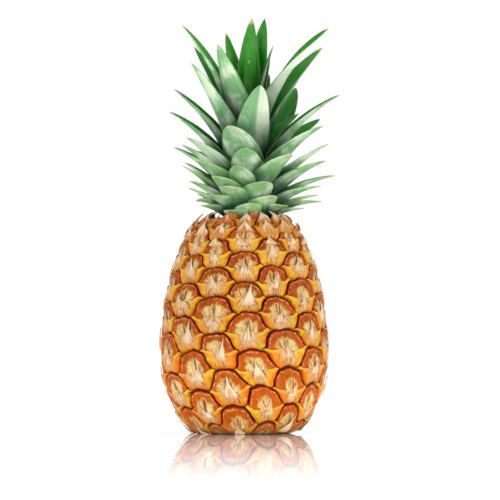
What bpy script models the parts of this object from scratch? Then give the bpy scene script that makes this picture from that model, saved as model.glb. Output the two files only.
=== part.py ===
"""A pineapple: the fruit with its fruitlets and bract tips in relief, its cut stalk, and its crown.

Metres, +Z up. The origin is the middle of the stalk's cut face, on the surface the fruit stands on.
-Y is the side seen from the front; a turn of 0 degrees faces -Y and +90 degrees faces +X.
"""

import math

import bmesh
import bpy
import numpy as np

# Driving sizes of the fruit
FRUIT_RADIUS = 0.0570
WIDEST_HEIGHT = 0.056
FRUIT_TOP = 0.1505
LOWER_HALF_AXIS = 0.070
UPPER_HALF_AXIS = 0.113
BASE_ROUNDING = 0.005
SHOULDER_ROUNDING = 0.014
OUTLINE_STEPS = 2000
JOINT_GAP = 0.0003

# The single spiral that the fruitlets follow, seven and a half to each turn
FRUITLETS_PER_TURN = 7.5
TURN_STEP = 360.0 / FRUITLETS_PER_TURN
FIRST_FRUITLET = -25
LAST_FRUITLET = 108
LOWEST_ROW = -1.12
HIGHEST_ROW = 13.86
FIRST_ROW_ALONG = 0.0440
ROW_STEP = 0.01425
ROW_STEP_LOSS = 0.00021
ROW_SLOPE = 1.0 / 360.0
DRIFT_BELOW_ROW = 6.5
DRIFT_PER_ROW = 3.4
TURN_WAVES = ((3, 1.1, 0.5, 1.5), (5, -0.8, 2.0, 1.0))
ROW_WAVES = ((4, 1.3, 0.0, 0.05), (7, -2.1, 1.0, 0.05))
RELIEF_STARTS = -0.95
RELIEF_ENDS = 13.66
RELIEF_RISE = 1.2
MERGE_DISTANCE = 2e-6

# One fruitlet, in degrees of turn and in rows: a rounded upper face above a winged lower bract
HALF_WIDTH = 18.0
HALF_TOP_WIDTH = 6.0
SIDE_POINTS = ((-HALF_WIDTH, 0.0), (-13.6, 0.26), (-10.8, 0.72), (-HALF_TOP_WIDTH, 1.0))
TOP_BULGE = 0.10
RIDGE_SAG = 0.14
ACROSS = 4
GROOVE_DEPTH = 0.0015
FACE_LIFT = 0.0009
RIDGE_LIFT = 0.0019
BRACT_FOOT_LIFT = 0.0004
BRACT_MIDDLE_LIFT = 0.0015

# The papery tip that rises from each bract: (share of its length, share of its lift, share of its width)
FIRST_TIP = -3
LAST_TIP = 85
TIP_LENGTH = 0.0115
TIP_WIDTH = 0.0056
TIP_THICKNESS = 0.0013
TIP_LIFT = 0.0033
TIP_STATIONS = ((-0.12, -0.38, 1.0), (0.45, 0.6, 0.72), (1.0, 1.0, 0.22))
TIP_ROOT_BELOW = 0.45
TIP_SWAY = 3.2
SWAY_STEP = 2.4
FIRST_COLLAR_TIP = 62
COLLAR_ROW = 11.3
COLLAR_TIP_LENGTH = 0.0090
COLLAR_TIP_RISE = 0.0024

# The cut stalk under the fruit and the leafy stem above it
STALK_RADIUS = 0.0135
STALK_LENGTH = 0.009
STALK_SIDES = 32
STEM_RADIUS = 0.0165
STEM_TOP_RADIUS = 0.004
STEM_SEAT = 0.009
STEM_TOP = 0.212
STEM_SIDES = 14
CROWN_SHIFT = 0.0025
CUTTER_REACH = 0.010
PLUG_TAPER = 0.0005
PLUG_OVERLAP = 0.001

# Leaves seen from the front: turn (degrees), height of the root, reach of the tip from the stem,
# height of the tip, bend (degrees), full width (millimetres) and twist at the tip (degrees)
FRONT_LEAVES = (
    (172, 204, 18, 293, 6, 20, 0),
    (150, 204, 23, 293, 8, 20, 10),
    (-142, 202, 25, 283, 8, 18, 0),
    (-42, 196, 31, 270, 12, 24, 0),
    (-100, 192, 47, 287, 34, 21, 14),
    (-118, 195, 43, 273, 14, 19, 10),
    (-60, 186, 45, 257, 18, 21, 0),
    (-132, 184, 37, 246, 14, 17, 0),
    (-100, 200, 20, 262, 5, 10, 0),
    (178, 206, 6, 262, 3, 9, 0),
    (104, 202, 18, 272, 16, 11, 0),
    (132, 202, 20, 266, 5, 14, 0),
    (74, 193, 58, 282, 46, 23, 45),
    (122, 190, 63, 274, 30, 23, 16),
    (98, 176, 65, 238, 38, 20, 10),
    (146, 184, 63, 247, -18, 32, 0),
    (12, 181, 41, 240, 44, 26, 0),
    (-17, 171, 45, 212, 54, 29, 0),
    (-100, 182, 53, 242, 32, 19, 12),
    (-101, 174, 56, 226, 36, 19, 12),
    (-122, 172, 43, 213, 22, 17, 0),
    (-58, 165, 49, 205, 44, 21, 0),
    (-74, 162, 48, 201, 36, 18, 0),
    (-99, 164, 53, 201, 34, 16, 10),
    (-100, 160, 45, 190, 26, 13, 8),
    (-83, 158, 46, 187, 24, 13, 0),
    (-50, 158, 46, 189, 48, 22, 0),
    (-36, 154, 41, 178, 50, 22, 0),
    (-72, 153, 43, 176, 38, 16, 0),
    (-96, 153, 42, 172, 28, 12, 0),
    (-106, 153, 37, 168, 28, 12, 0),
    (-72, 151, 35, 159, 32, 15, 0),
    (-46, 152, 37, 165, 44, 20, 0),
    (-25, 152, 37, 171, 52, 24, 0),
    (-2, 163, 39, 197, 52, 26, 0),
    (-11, 157, 38, 185, 54, 22, 0),
    (18, 153, 38, 174, 52, 25, 0),
    (40, 160, 48, 193, 44, 24, 0),
    (62, 166, 59, 213, 44, 21, 0),
    (125, 171, 62, 223, 26, 24, 14),
    (84, 163, 56, 202, 26, 19, 10),
    (64, 157, 60, 189, 38, 18, 0),
    (99, 156, 62, 181, 36, 14, 8),
    (70, 153, 54, 172, 38, 15, 0),
    (96, 153, 49, 167, 26, 10, 0),
    (84, 152, 52, 162, 30, 11, 0),
    (76, 151, 40, 157, 22, 11, 0),
    (34, 149, 31, 165, 38, 24, 0),
    (6, 147, 25, 160, 16, 25, 0),
    (-26, 146, 28, 155, 26, 23, 0),
    (52, 151, 35, 158, 42, 18, 0),
)

# The leaves of the far side follow the golden ratio from root to tip of the stem
FAR_LEAF_COUNT = 21
FAR_TURN_SPAN = 148.0
FAR_TURN_GATHER = 0.45
GOLDEN_RATIO = 0.6180340
FAR_ROOT_LOW = 151.5
FAR_ROOT_RISE = 48.0
FAR_TIP_LOW = 160.0
FAR_TIP_RISE = 99.0
FAR_REACH_LOW = 38.0
FAR_REACH_SWELL = 62.0
FAR_REACH_LOSS = 18.0
FAR_BEND_LOW = 52.0
FAR_BEND_LOSS = 36.0
FAR_LEAF_WIDTH = 20.0

# The blade of a leaf
LEAF_STATIONS = (0.0, 0.18, 0.42, 0.66, 0.86, 1.0)
SMALL_LEAF_WIDTH = 22
SMALL_LEAF_STATIONS = (0.0, 0.30, 0.60, 0.84, 1.0)
LEAF_THICKNESS = 0.0011
LEAF_TIP_THICKNESS = 0.0007
LEAF_TIP_WIDTH = 0.0011
BASE_CUP = 72.0
TIP_CUP = 34.0
BLUNT_TIP_CUP = 14.0
ROOT_REACH_SHARE = 0.9
ROOT_WIDTH_SHARE = 0.6
ROOT_LENGTH_SHARE = 0.24
TAPER_POWER = 0.78
BLUNT_TAPER_POWER = 0.60
SLENDER_SHARE = 0.16
BLUNT_SHARE = 0.40
MIDDLE_SWELL = 0.9


def clear_scene():
    for thing in list(bpy.data.objects):
        bpy.data.objects.remove(thing)


def material(name, colour, roughness):
    made = bpy.data.materials.new(name)
    made.use_nodes = True
    shader = made.node_tree.nodes["Principled BSDF"]
    shader.inputs["Base Color"].default_value = (*colour, 1.0)
    shader.inputs["Roughness"].default_value = roughness
    shader.inputs["Metallic"].default_value = 0.0
    return made


def new_object(name, form, finish):
    mesh = bpy.data.meshes.new(name)
    form.to_mesh(mesh)
    form.free()
    made = bpy.data.objects.new(name, mesh)
    mesh.materials.append(finish)
    bpy.context.scene.collection.objects.link(made)
    return made


# The fruit's outline: half an egg, cut flat below and above by smooth limits


def smooth_max(a, b, blend):
    near = np.maximum(blend - np.abs(a - b), 0.0) / blend
    return np.maximum(a, b) + near * near * blend / 4.0


def fruit_outline():
    """Length along the outline from the base's middle, radius and height, and the outward normal."""
    swing = np.linspace(-math.pi / 2, math.pi / 2, OUTLINE_STEPS + 1)
    half_axis = np.where(swing < 0, LOWER_HALF_AXIS, UPPER_HALF_AXIS)
    radius = FRUIT_RADIUS * np.cos(swing)
    height = WIDEST_HEIGHT + half_axis * np.sin(swing)
    height = smooth_max(height, np.zeros_like(height), BASE_ROUNDING)
    height = -smooth_max(-height, np.full_like(height, -FRUIT_TOP), SHOULDER_ROUNDING)
    steps = np.hypot(np.diff(radius), np.diff(height))
    along = np.concatenate([[0.0], np.cumsum(steps)])
    out_r = np.gradient(height, along)
    out_z = -np.gradient(radius, along)
    return along, radius, height, out_r, out_z


OUTLINE = fruit_outline()


def on_fruit(turn, along, lift):
    """Points at these turns (degrees) and lengths along the outline, lifted off the surface."""
    radius, height, out_r, out_z = (np.interp(along, OUTLINE[0], line) for line in OUTLINE[1:])
    angle = np.radians(turn)
    reach = radius + lift * out_r
    return np.stack([reach * np.sin(angle), -reach * np.cos(angle), height + lift * out_z], -1)


# The spiral of fruitlets


def spiral_to_surface(turn, row):
    """The turn and length along the outline of a place in the spiral's even lattice."""
    angle = np.radians(turn)
    below = np.maximum(0.0, DRIFT_BELOW_ROW - row)
    drift = DRIFT_PER_ROW * below * below / (below + 1.0)
    drift = drift + sum(size * np.sin(k * angle + m * row + start) for k, m, start, size in TURN_WAVES)
    row = row + sum(size * np.sin(k * angle + m * row + start) for k, m, start, size in ROW_WAVES)
    along = FIRST_ROW_ALONG + ROW_STEP * row - ROW_STEP_LOSS * row * row
    return turn + drift, along


def relief_share(row):
    """Full relief on the fruit's side, none where its flat base and flat top begin."""
    low = np.clip((row - RELIEF_STARTS) / RELIEF_RISE, 0.0, 1.0)
    high = np.clip((RELIEF_ENDS - row) / RELIEF_RISE, 0.0, 1.0)
    return np.minimum(low, high)


def fruitlet_place(number):
    return TURN_STEP * number % 360.0, 1.0 + number / FRUITLETS_PER_TURN


def side_line(mirrored):
    line = np.array(SIDE_POINTS)
    if mirrored:
        line = line * (-1.0, 1.0)
    return line


def filled_patch(bottom, top, left, right):
    """A grid of points between four edge lines that meet at their ends."""
    p = np.linspace(0.0, 1.0, len(bottom))[None, :, None]
    q = np.linspace(0.0, 1.0, len(left))[:, None, None]
    edges = (1 - q) * bottom[None] + q * top[None] + (1 - p) * left[:, None] + p * right[:, None]
    corners = (1 - q) * ((1 - p) * bottom[0] + p * bottom[-1]) + q * ((1 - p) * top[0] + p * top[-1])
    return edges - corners


def fruitlet_patches():
    """The upper face and the bract of one fruitlet as grids of (turn, row, lift)."""
    share = np.linspace(-1.0, 1.0, ACROSS + 1)
    top = np.stack([HALF_TOP_WIDTH * share, 1.0 + TOP_BULGE * (1 - share**2)], -1)
    ridge = np.stack([HALF_WIDTH * share, -RIDGE_SAG * (1 - share**2)], -1)
    left, right = side_line(False), side_line(True)
    neighbour = HALF_WIDTH + HALF_TOP_WIDTH
    face = filled_patch(ridge, top, left, right)
    bract = filled_patch(top - (0.0, 2.0), ridge, right - (neighbour, 1.0), left + (neighbour, -1.0))
    inward = 1.0 - share**4
    face_lift = np.array([RIDGE_LIFT, FACE_LIFT, FACE_LIFT, -GROOVE_DEPTH])[:, None]
    bract_lift = np.array([-GROOVE_DEPTH, BRACT_FOOT_LIFT, BRACT_MIDDLE_LIFT, RIDGE_LIFT])[:, None]
    lifts = [inward * (lift + GROOVE_DEPTH) - GROOVE_DEPTH for lift in (face_lift, bract_lift)]
    return [np.concatenate([grid, lift[..., None]], -1) for grid, lift in zip((face, bract), lifts)]


def fruit_skin():
    """The fruit's closed skin: every fruitlet of the spiral laid on the outline, edge to edge."""
    flat = bmesh.new()
    patches = fruitlet_patches()
    for number in range(FIRST_FRUITLET, LAST_FRUITLET):
        turn, row = fruitlet_place(number)
        for grid in patches:
            points = grid.reshape(-1, 3)
            rows = row + points[:, 1] + points[:, 0] * ROW_SLOPE
            made = [flat.verts.new((turn + x, y, lift)) for x, y, lift in
                    zip(points[:, 0], rows, points[:, 2])]
            wide = grid.shape[1]
            for start in range((grid.shape[0] - 1) * wide):
                if (start + 1) % wide:
                    flat.faces.new((made[start], made[start + 1], made[start + wide + 1], made[start + wide]))
    for level, side in ((LOWEST_ROW, -1.0), (HIGHEST_ROW, 1.0)):
        everything = flat.verts[:] + flat.edges[:] + flat.faces[:]
        bmesh.ops.bisect_plane(flat, geom=everything, dist=1e-7, plane_co=(0, level, 0),
                               plane_no=(0, side, 0), clear_outer=True)
    spots = np.array([vert.co for vert in flat.verts])
    turns, along = spiral_to_surface(spots[:, 0], spots[:, 1])
    places = on_fruit(turns, along, spots[:, 2] * relief_share(spots[:, 1]))
    places[:, 2] = np.maximum(places[:, 2], 0.0)
    for vert, place in zip(flat.verts, places):
        vert.co = place
    bmesh.ops.remove_doubles(flat, verts=flat.verts, dist=MERGE_DISTANCE)
    open_edges = [edge for edge in flat.edges if edge.is_boundary]
    bmesh.ops.holes_fill(flat, edges=open_edges, sides=0)
    bmesh.ops.recalc_face_normals(flat, faces=flat.faces)
    return flat


# The papery tips of the bracts


def bract_tip(number, clearance=0.0):
    """One three-sided tip: rooted under the ridge, leaning up over the fruitlet's face."""
    turn, row = fruitlet_place(number)
    collar = min(1.0, max(0.0, row - COLLAR_ROW))
    length = TIP_LENGTH + (COLLAR_TIP_LENGTH - TIP_LENGTH) * collar
    turn, along = spiral_to_surface(np.array([turn]), np.array([row - TIP_ROOT_BELOW]))
    sway = TIP_SWAY * math.sin(SWAY_STEP * number)
    form = bmesh.new()
    rings = []
    for share, lift_share, width_share in TIP_STATIONS:
        lift = TIP_LIFT * lift_share
        free = max(share, 0.0)
        place_along = along + length * share + (2 * clearance if share == 1.0 else 0.0)
        middle = on_fruit(turn + sway * free, place_along, lift)[0]
        half_width = 0.5 * TIP_WIDTH * width_share + 2 * clearance
        half_turn = math.degrees(half_width / math.hypot(middle[0], middle[1]))
        half_thick = 0.5 * TIP_THICKNESS * (0.55 + 0.45 * width_share) + 1.5 * clearance
        ring = []
        for side, raise_by in ((-half_turn, -half_thick), (half_turn, -half_thick), (0.0, half_thick)):
            place = on_fruit(turn + sway * free + side, place_along, lift + raise_by)[0]
            place[2] += collar * COLLAR_TIP_RISE * free
            ring.append(form.verts.new(place))
        rings.append(ring)
    return closed_loft(form, rings)


# Lofts, joins and cuts


def closed_loft(form, rings):
    """Skins rings of points, each of the same count, and caps both ends."""
    count = len(rings[0])
    for low, high in zip(rings, rings[1:]):
        for k in range(count):
            form.faces.new((low[k], low[(k + 1) % count], high[(k + 1) % count], high[k]))
    form.faces.new(rings[0])
    form.faces.new(rings[-1])
    bmesh.ops.recalc_face_normals(form, faces=form.faces)
    return form


def turned(outline, sides, centre_x=0.0):
    """A closed round solid from its (radius, height) outline, given from bottom to top."""
    form = bmesh.new()
    rings = []
    for radius, height in outline:
        ring = []
        for k in range(sides):
            angle = 2 * math.pi * k / sides
            x, y = centre_x + radius * math.cos(angle), radius * math.sin(angle)
            ring.append(form.verts.new((x, y, height)))
        rings.append(ring)
    return closed_loft(form, rings)


def join_all(body, forms, finish):
    """Joins the forms to the body with one Boolean union, then removes them."""
    repeats = bpy.data.collections.new(body.name + "_repeats")
    bpy.context.scene.collection.children.link(repeats)
    for k, form in enumerate(forms):
        piece = new_object(f"{body.name}_repeat_{k}", form, finish)
        bpy.context.scene.collection.objects.unlink(piece)
        repeats.objects.link(piece)
    union = body.modifiers.new("join", "BOOLEAN")
    union.operation = "UNION"
    union.operand_type = "COLLECTION"
    union.collection = repeats
    union.solver = "MANIFOLD"
    apply_modifiers(body)
    for piece in list(repeats.objects):
        bpy.data.objects.remove(piece)
    bpy.data.collections.remove(repeats)


def cut_away(body, form, finish):
    """Takes the form out of the body."""
    cutter = new_object(body.name + "_cutter", form, finish)
    cut = body.modifiers.new("cut", "BOOLEAN")
    cut.operation = "DIFFERENCE"
    cut.object = cutter
    cut.solver = "MANIFOLD"
    apply_modifiers(body)
    bpy.data.objects.remove(cutter)


def cut_off_below(body, height):
    """Cuts the body flat at this height and closes the cut."""
    form = bmesh.new()
    form.from_mesh(body.data)
    everything = form.verts[:] + form.edges[:] + form.faces[:]
    bmesh.ops.bisect_plane(form, geom=everything, dist=1e-7, plane_co=(0, 0, height),
                           plane_no=(0, 0, -1), clear_outer=True)
    bmesh.ops.holes_fill(form, edges=[edge for edge in form.edges if edge.is_boundary], sides=0)
    bmesh.ops.recalc_face_normals(form, faces=form.faces)
    form.to_mesh(body.data)
    form.free()


def apply_modifiers(body):
    bpy.context.view_layer.update()
    graph = bpy.context.evaluated_depsgraph_get()
    finished = bpy.data.meshes.new_from_object(body.evaluated_get(graph))
    body.modifiers.clear()
    body.data = finished


def fill_sealed_hollows(body):
    """Keeps the outermost shell alone, so that what the join has sealed inside is solid."""
    form = bmesh.new()
    form.from_mesh(body.data)
    unseen = set(form.verts)
    shells = []
    while unseen:
        shell, front = set(), [unseen.pop()]
        while front:
            vert = front.pop()
            shell.add(vert)
            for edge in vert.link_edges:
                other = edge.other_vert(vert)
                if other in unseen:
                    unseen.remove(other)
                    front.append(other)
        shells.append(shell)
    outer = max(shells, key=len)
    sealed = [vert for vert in form.verts if vert not in outer]
    bmesh.ops.delete(form, geom=sealed, context="VERTS")
    form.to_mesh(body.data)
    form.free()


# The crown's leaves


def leaf_width(share, blunt):
    """The blade's half width as a share of its widest half, from root to tip."""
    root = ROOT_WIDTH_SHARE + (1 - ROOT_WIDTH_SHARE) * min(1.0, share / ROOT_LENGTH_SHARE)
    taper = (1 - share) ** (TAPER_POWER + (BLUNT_TAPER_POWER - TAPER_POWER) * blunt)
    return root * taper * (1 + MIDDLE_SWELL * share)


def leaf_line(root_height, tip_reach, tip_height, bend):
    """Length, first lean and last lean (radians from upright) of the arc from root to tip."""
    root_reach = ROOT_REACH_SHARE * stem_radius(root_height)
    across, up = tip_reach - root_reach, tip_height - root_height
    chord, lean = math.hypot(across, up), math.atan2(across, up)
    half_bend = math.radians(bend) / 2
    length = chord * half_bend / math.sin(half_bend)
    return root_reach, length, lean - half_bend, lean + half_bend


def stem_radius(height):
    share = min(1.0, max(0.0, (height - FRUIT_TOP) / (STEM_TOP - FRUIT_TOP)))
    return STEM_RADIUS + (STEM_TOP_RADIUS - STEM_RADIUS) * share


def leaf_point(leaf, share, side, below):
    """A point of the blade: share along it, side from -1 to 1 across it, and depth below its face."""
    turn, root_height, tip_reach, tip_height, bend, width, twist = leaf
    root_height, tip_reach, tip_height, width = (
        0.001 * size for size in (root_height, tip_reach, tip_height, width))
    root_reach, length, first, last = leaf_line(root_height, tip_reach, tip_height, bend)
    swing = last - first
    lean = first + swing * share
    reach = root_reach + length * (math.cos(first) - math.cos(lean)) / swing
    height = root_height + length * (math.sin(lean) - math.sin(first)) / swing
    blunt = min(1.0, max(0.0, (width / length - SLENDER_SHARE) / (BLUNT_SHARE - SLENDER_SHARE)))
    half = max(0.5 * width * leaf_width(share, blunt), 0.5 * LEAF_TIP_WIDTH)
    tip_cup = TIP_CUP + (BLUNT_TIP_CUP - TIP_CUP) * blunt
    cup = math.radians(BASE_CUP + (tip_cup - BASE_CUP) * share)
    across = half * math.sin(side * cup) / math.sin(cup)
    raised = half * (1 - math.cos(side * cup)) / math.sin(cup) - below
    angle = math.radians(turn)
    spin = math.copysign(math.radians(twist), math.sin(angle)) * share * share
    across, raised = (across * math.cos(spin) - raised * math.sin(spin),
                      raised * math.cos(spin) + across * math.sin(spin))
    reach = reach - raised * math.cos(lean)
    height = height + raised * math.sin(lean)
    x = CROWN_SHIFT + reach * math.sin(angle) + across * math.cos(angle)
    y = -reach * math.cos(angle) + across * math.sin(angle)
    return x, y, height


def leaf_blade(leaf):
    """One blade: a thin gutter that narrows to its tip, three points across on each face."""
    form = bmesh.new()
    rings = []
    for share in SMALL_LEAF_STATIONS if leaf[5] <= SMALL_LEAF_WIDTH else LEAF_STATIONS:
        thick = LEAF_THICKNESS + (LEAF_TIP_THICKNESS - LEAF_THICKNESS) * share
        face = [leaf_point(leaf, share, side, 0.0) for side in (-1.0, 0.0, 1.0)]
        back = [leaf_point(leaf, share, side, thick) for side in (1.0, 0.0, -1.0)]
        rings.append([form.verts.new(place) for place in face + back])
    for low, high in zip(rings, rings[1:]):
        for k in range(6):
            form.faces.new((low[k], low[(k + 1) % 6], high[(k + 1) % 6], high[k]))
    for ring in (rings[0], rings[-1]):
        form.faces.new((ring[0], ring[1], ring[4], ring[5]))
        form.faces.new((ring[1], ring[2], ring[3], ring[4]))
    bmesh.ops.recalc_face_normals(form, faces=form.faces)
    return form


def far_leaves():
    """The leaves of the side turned away: longer and nearer upright towards the stem's top."""
    leaves = []
    for k in range(FAR_LEAF_COUNT):
        rise = (k / (FAR_LEAF_COUNT - 1)) ** 1.25
        gathered = 1.0 - FAR_TURN_GATHER * rise
        turn = 180.0 + FAR_TURN_SPAN * gathered * ((0.35 + GOLDEN_RATIO * k) % 1.0 - 0.5)
        root_height = FAR_ROOT_LOW + FAR_ROOT_RISE * rise
        reach = FAR_REACH_LOW + FAR_REACH_SWELL * rise * (1 - rise) - FAR_REACH_LOSS * rise**2
        tip_height = FAR_TIP_LOW + FAR_TIP_RISE * rise**0.9
        bend = FAR_BEND_LOW - FAR_BEND_LOSS * rise
        leaves.append((turn, root_height, reach, tip_height, bend, FAR_LEAF_WIDTH, 0.0))
    return leaves


def make_fruit():
    rind = material("rind", (0.78, 0.42, 0.07), 0.55)
    fruit = new_object("fruit", fruit_skin(), rind)
    join_all(fruit, [bract_tip(number) for number in range(FIRST_TIP, LAST_TIP)], rind)
    hole = STALK_RADIUS + JOINT_GAP
    base_hole = ((hole, -CUTTER_REACH), (hole, STALK_LENGTH + JOINT_GAP))
    cut_away(fruit, turned(base_hole, STALK_SIDES), rind)
    hole = STEM_RADIUS + JOINT_GAP
    top_hole = ((hole, FRUIT_TOP - STEM_SEAT - JOINT_GAP), (hole, FRUIT_TOP + CUTTER_REACH))
    cut_away(fruit, turned(top_hole, STEM_SIDES, CROWN_SHIFT), rind)


def make_stalk():
    wood = material("cut_stalk", (0.62, 0.48, 0.28), 0.8)
    outline = ((STALK_RADIUS, 0.0), (STALK_RADIUS, STALK_LENGTH))
    new_object("stalk", turned(outline, STALK_SIDES), wood)


def make_crown():
    green = material("leaf", (0.33, 0.52, 0.30), 0.5)
    seat = FRUIT_TOP - STEM_SEAT
    foot = FRUIT_TOP + JOINT_GAP
    stem = ((STEM_RADIUS, seat), (STEM_RADIUS, foot), (STEM_TOP_RADIUS, STEM_TOP))
    crown = new_object("crown", turned(stem, STEM_SIDES, CROWN_SHIFT), green)
    join_all(crown, [leaf_blade(leaf) for leaf in (*FRONT_LEAVES, *far_leaves())], green)
    cut_off_below(crown, foot)
    plug = ((STEM_RADIUS, seat), (STEM_RADIUS - PLUG_TAPER, foot + PLUG_OVERLAP))
    join_all(crown, [turned(plug, STEM_SIDES, CROWN_SHIFT)], green)
    for number in range(FIRST_COLLAR_TIP, LAST_TIP):
        cut_away(crown, bract_tip(number, JOINT_GAP), green)
    fill_sealed_hollows(crown)


clear_scene()
make_fruit()
make_stalk()
make_crown()
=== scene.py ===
"""The looks of a whole pineapple: its rind of eyes and papery bract tips, its cut stalk and its leafy crown.

Metres, +Z up. -Y is the side seen from the front, where a turn of 0 degrees faces; +90 degrees faces +X.
"""

import math

import bpy
import numpy as np
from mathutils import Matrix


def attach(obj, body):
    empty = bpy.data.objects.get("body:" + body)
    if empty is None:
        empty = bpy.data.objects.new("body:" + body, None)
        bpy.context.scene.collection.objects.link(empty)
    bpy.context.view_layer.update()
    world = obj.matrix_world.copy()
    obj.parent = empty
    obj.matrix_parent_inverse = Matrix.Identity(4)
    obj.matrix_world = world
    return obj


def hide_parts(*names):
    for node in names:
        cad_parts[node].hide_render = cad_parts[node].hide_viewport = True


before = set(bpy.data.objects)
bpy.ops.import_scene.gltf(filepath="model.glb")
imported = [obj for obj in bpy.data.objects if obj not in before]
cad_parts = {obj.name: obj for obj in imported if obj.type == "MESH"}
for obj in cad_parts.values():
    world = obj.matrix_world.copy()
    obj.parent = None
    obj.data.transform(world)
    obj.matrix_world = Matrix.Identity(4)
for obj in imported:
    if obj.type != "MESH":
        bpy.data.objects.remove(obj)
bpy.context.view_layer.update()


# The rind. Some hundred and thirty eyes, each a flower that swelled into a fruitlet, have grown together
# along one spiral. Each is a waxy rust-red dome above a golden bract that has dried to paper in its middle.
# The fruit stands on its flat base, and the eyes shrink towards the crown.

FRUIT_RADIUS = 0.0570
WIDEST_HEIGHT = 0.056
FRUIT_TOP = 0.1505
LOWER_HALF_AXIS = 0.070
UPPER_HALF_AXIS = 0.113
BASE_ROUNDING = 0.005
SHOULDER_ROUNDING = 0.014
OUTLINE_POINTS = 1601
STALK_RECESS_DEPTH = 0.0015

COLOUR_IN_FULL_LIGHT = 0.475
# Painted light: below these heights colours are scaled up by this share, standing in for light from the white
# floor.
FLOOR_LIGHT_BRIGHTENING = 0.34
FLOOR_LIGHT_BELOW = 0.080
FLOOR_LIGHT_FULL_BELOW = 0.015

EYES_PER_TURN = 7.5
TURN_STEP = 360.0 / EYES_PER_TURN
FIRST_EYE = -25
EYE_COUNT = 134
LOWEST_ROW = -1.5
HIGHEST_ROW = 14.2
FIRST_ROW_ALONG = 0.0440
ROW_STEP = 0.01425
ROW_STEP_LOSS = 0.00021
DRIFT_BELOW_ROW = 6.5
DRIFT_PER_ROW = 3.4
TURN_WAVES = ((3, 1.1, 0.5, 1.5), (5, -0.8, 2.0, 1.0))
ROW_WAVES = ((4, 1.3, 0.0, 0.05), (7, -2.1, 1.0, 0.05))
RELIEF_STARTS = -0.95
RELIEF_ENDS = 13.66
RELIEF_RISE = 1.2
WOBBLE = 0.0019
FINE_WOBBLE = 0.0007

EYE_HALF_WIDTH = 18.0
EYE_TOP_HALF_WIDTH = 6.0
SIDE_HANDLES = ((-18.0, 0.0), (-10.8, 0.0), (-13.4, 0.98), (-6.0, 1.0))
TOP_BULGE = 0.10
RIDGE_SAG = 0.14
RIDGE_MIDDLE = -1.0
RIDGE_CURVE = 0.0042
RIDGE_HORN = 1.6
EYE_COLUMNS = 26
EYE_ROWS = 14
MM_PER_DEGREE = 0.93
MM_PER_ROW = 11.3
GROOVE_DEPTH = 0.0010
DOME_LIFT = 0.0008
DOME_SWELL = 0.0007
DOME_UNEVENNESS = 0.0010
RIM_TOOTH_LIFT = 0.0005
RIDGE_LIFT = 0.0019
BRACT_FALL = 0.0005
BRACT_CURVE = 0.0011
BRACT_UNEVENNESS = 0.0007
KEEL_LIFT = 0.0004
KEEL_SPREAD = 0.0006
PAPER_RIB_LIFT = 0.0009
MERGE_DISTANCE = 0.000004


class Wire:
    """A value that flows through a node tree. Sums, products and the like add the nodes for them."""

    def __init__(self, tree, socket):
        self.tree = tree
        self.socket = socket

    def __add__(self, other):
        return worked("ADD", self, other)

    def __radd__(self, other):
        return worked("ADD", other, self)

    def __sub__(self, other):
        return worked("SUBTRACT", self, other)

    def __rsub__(self, other):
        return worked("SUBTRACT", other, self)

    def __mul__(self, other):
        return worked("MULTIPLY", self, other)

    def __rmul__(self, other):
        return worked("MULTIPLY", other, self)

    def __truediv__(self, other):
        return worked("DIVIDE", self, other)

    def __rtruediv__(self, other):
        return worked("DIVIDE", other, self)


def add_node(tree, kind, inputs=None, **settings):
    """A node with its settings made and its inputs, by name or number, linked or set."""
    node = tree.nodes.new(kind)
    for name, value in settings.items():
        setattr(node, name, value)
    for key, value in (inputs or {}).items():
        if isinstance(value, Wire):
            tree.links.new(value.socket, node.inputs[key])
        else:
            node.inputs[key].default_value = value
    return node


def wire(tree, kind, inputs=None, output=0, **settings):
    return Wire(tree, add_node(tree, kind, inputs, **settings).outputs[output])


def worked(operation, *values):
    tree = next(value.tree for value in values if isinstance(value, Wire))
    return wire(tree, "ShaderNodeMath", dict(enumerate(values)), operation=operation)


def sine(angle):
    return worked("SINE", angle)


def cosine(angle):
    return worked("COSINE", angle)


def smooth(value, low, high):
    """0 on the low side, 1 on the high side and a soft rise between."""
    inputs = {0: value, 1: low, 2: high}
    return wire(value.tree, "ShaderNodeMapRange", inputs, interpolation_type="SMOOTHSTEP")


def bump_at(value, middle, reach):
    """1 where the value is at the middle, falling softly to 0 at the reach on both sides."""
    return smooth(worked("ABSOLUTE", value - middle), reach, 0.0)


def lerp(low, high, share):
    return low + (high - low) * share


def vector(x, y, z=0.0):
    tree = next(value.tree for value in (x, y, z) if isinstance(value, Wire))
    return wire(tree, "ShaderNodeCombineXYZ", {0: x, 1: y, 2: z})


def parts_of(place):
    node = add_node(place.tree, "ShaderNodeSeparateXYZ", {0: place})
    return [Wire(place.tree, output) for output in node.outputs]


def noise(place, scale, detail=2.0):
    """Soft random spots between 0 and 1."""
    return wire(place.tree, "ShaderNodeTexNoise", {"Vector": place, "Scale": scale, "Detail": detail})


def new_tree(name, sizes):
    """A Geometry Nodes tree with one named input for each size, and the wires from them."""
    tree = bpy.data.node_groups.new(name, "GeometryNodeTree")
    tree.is_modifier = True
    tree.interface.new_socket(name="Geometry", in_out="OUTPUT", socket_type="NodeSocketGeometry")
    tree.interface.new_socket(name="Geometry", in_out="INPUT", socket_type="NodeSocketGeometry")
    kinds = {int: "NodeSocketInt", float: "NodeSocketFloat", bpy.types.Object: "NodeSocketObject"}
    for size, value in sizes.items():
        tree.interface.new_socket(name=size, in_out="INPUT", socket_type=kinds[type(value)])
    start = tree.nodes.new("NodeGroupInput")
    return tree, {output.name: Wire(tree, output) for output in start.outputs[:-1]}


def attribute(tree, name, kind="FLOAT_VECTOR"):
    return wire(tree, "GeometryNodeInputNamedAttribute", {"Name": name}, data_type=kind)


def stored(geometry, name, value, kind="FLOAT_VECTOR"):
    inputs = {"Geometry": geometry, "Name": name, "Value": value}
    return wire(geometry.tree, "GeometryNodeStoreNamedAttribute", inputs, data_type=kind, domain="POINT")


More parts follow.
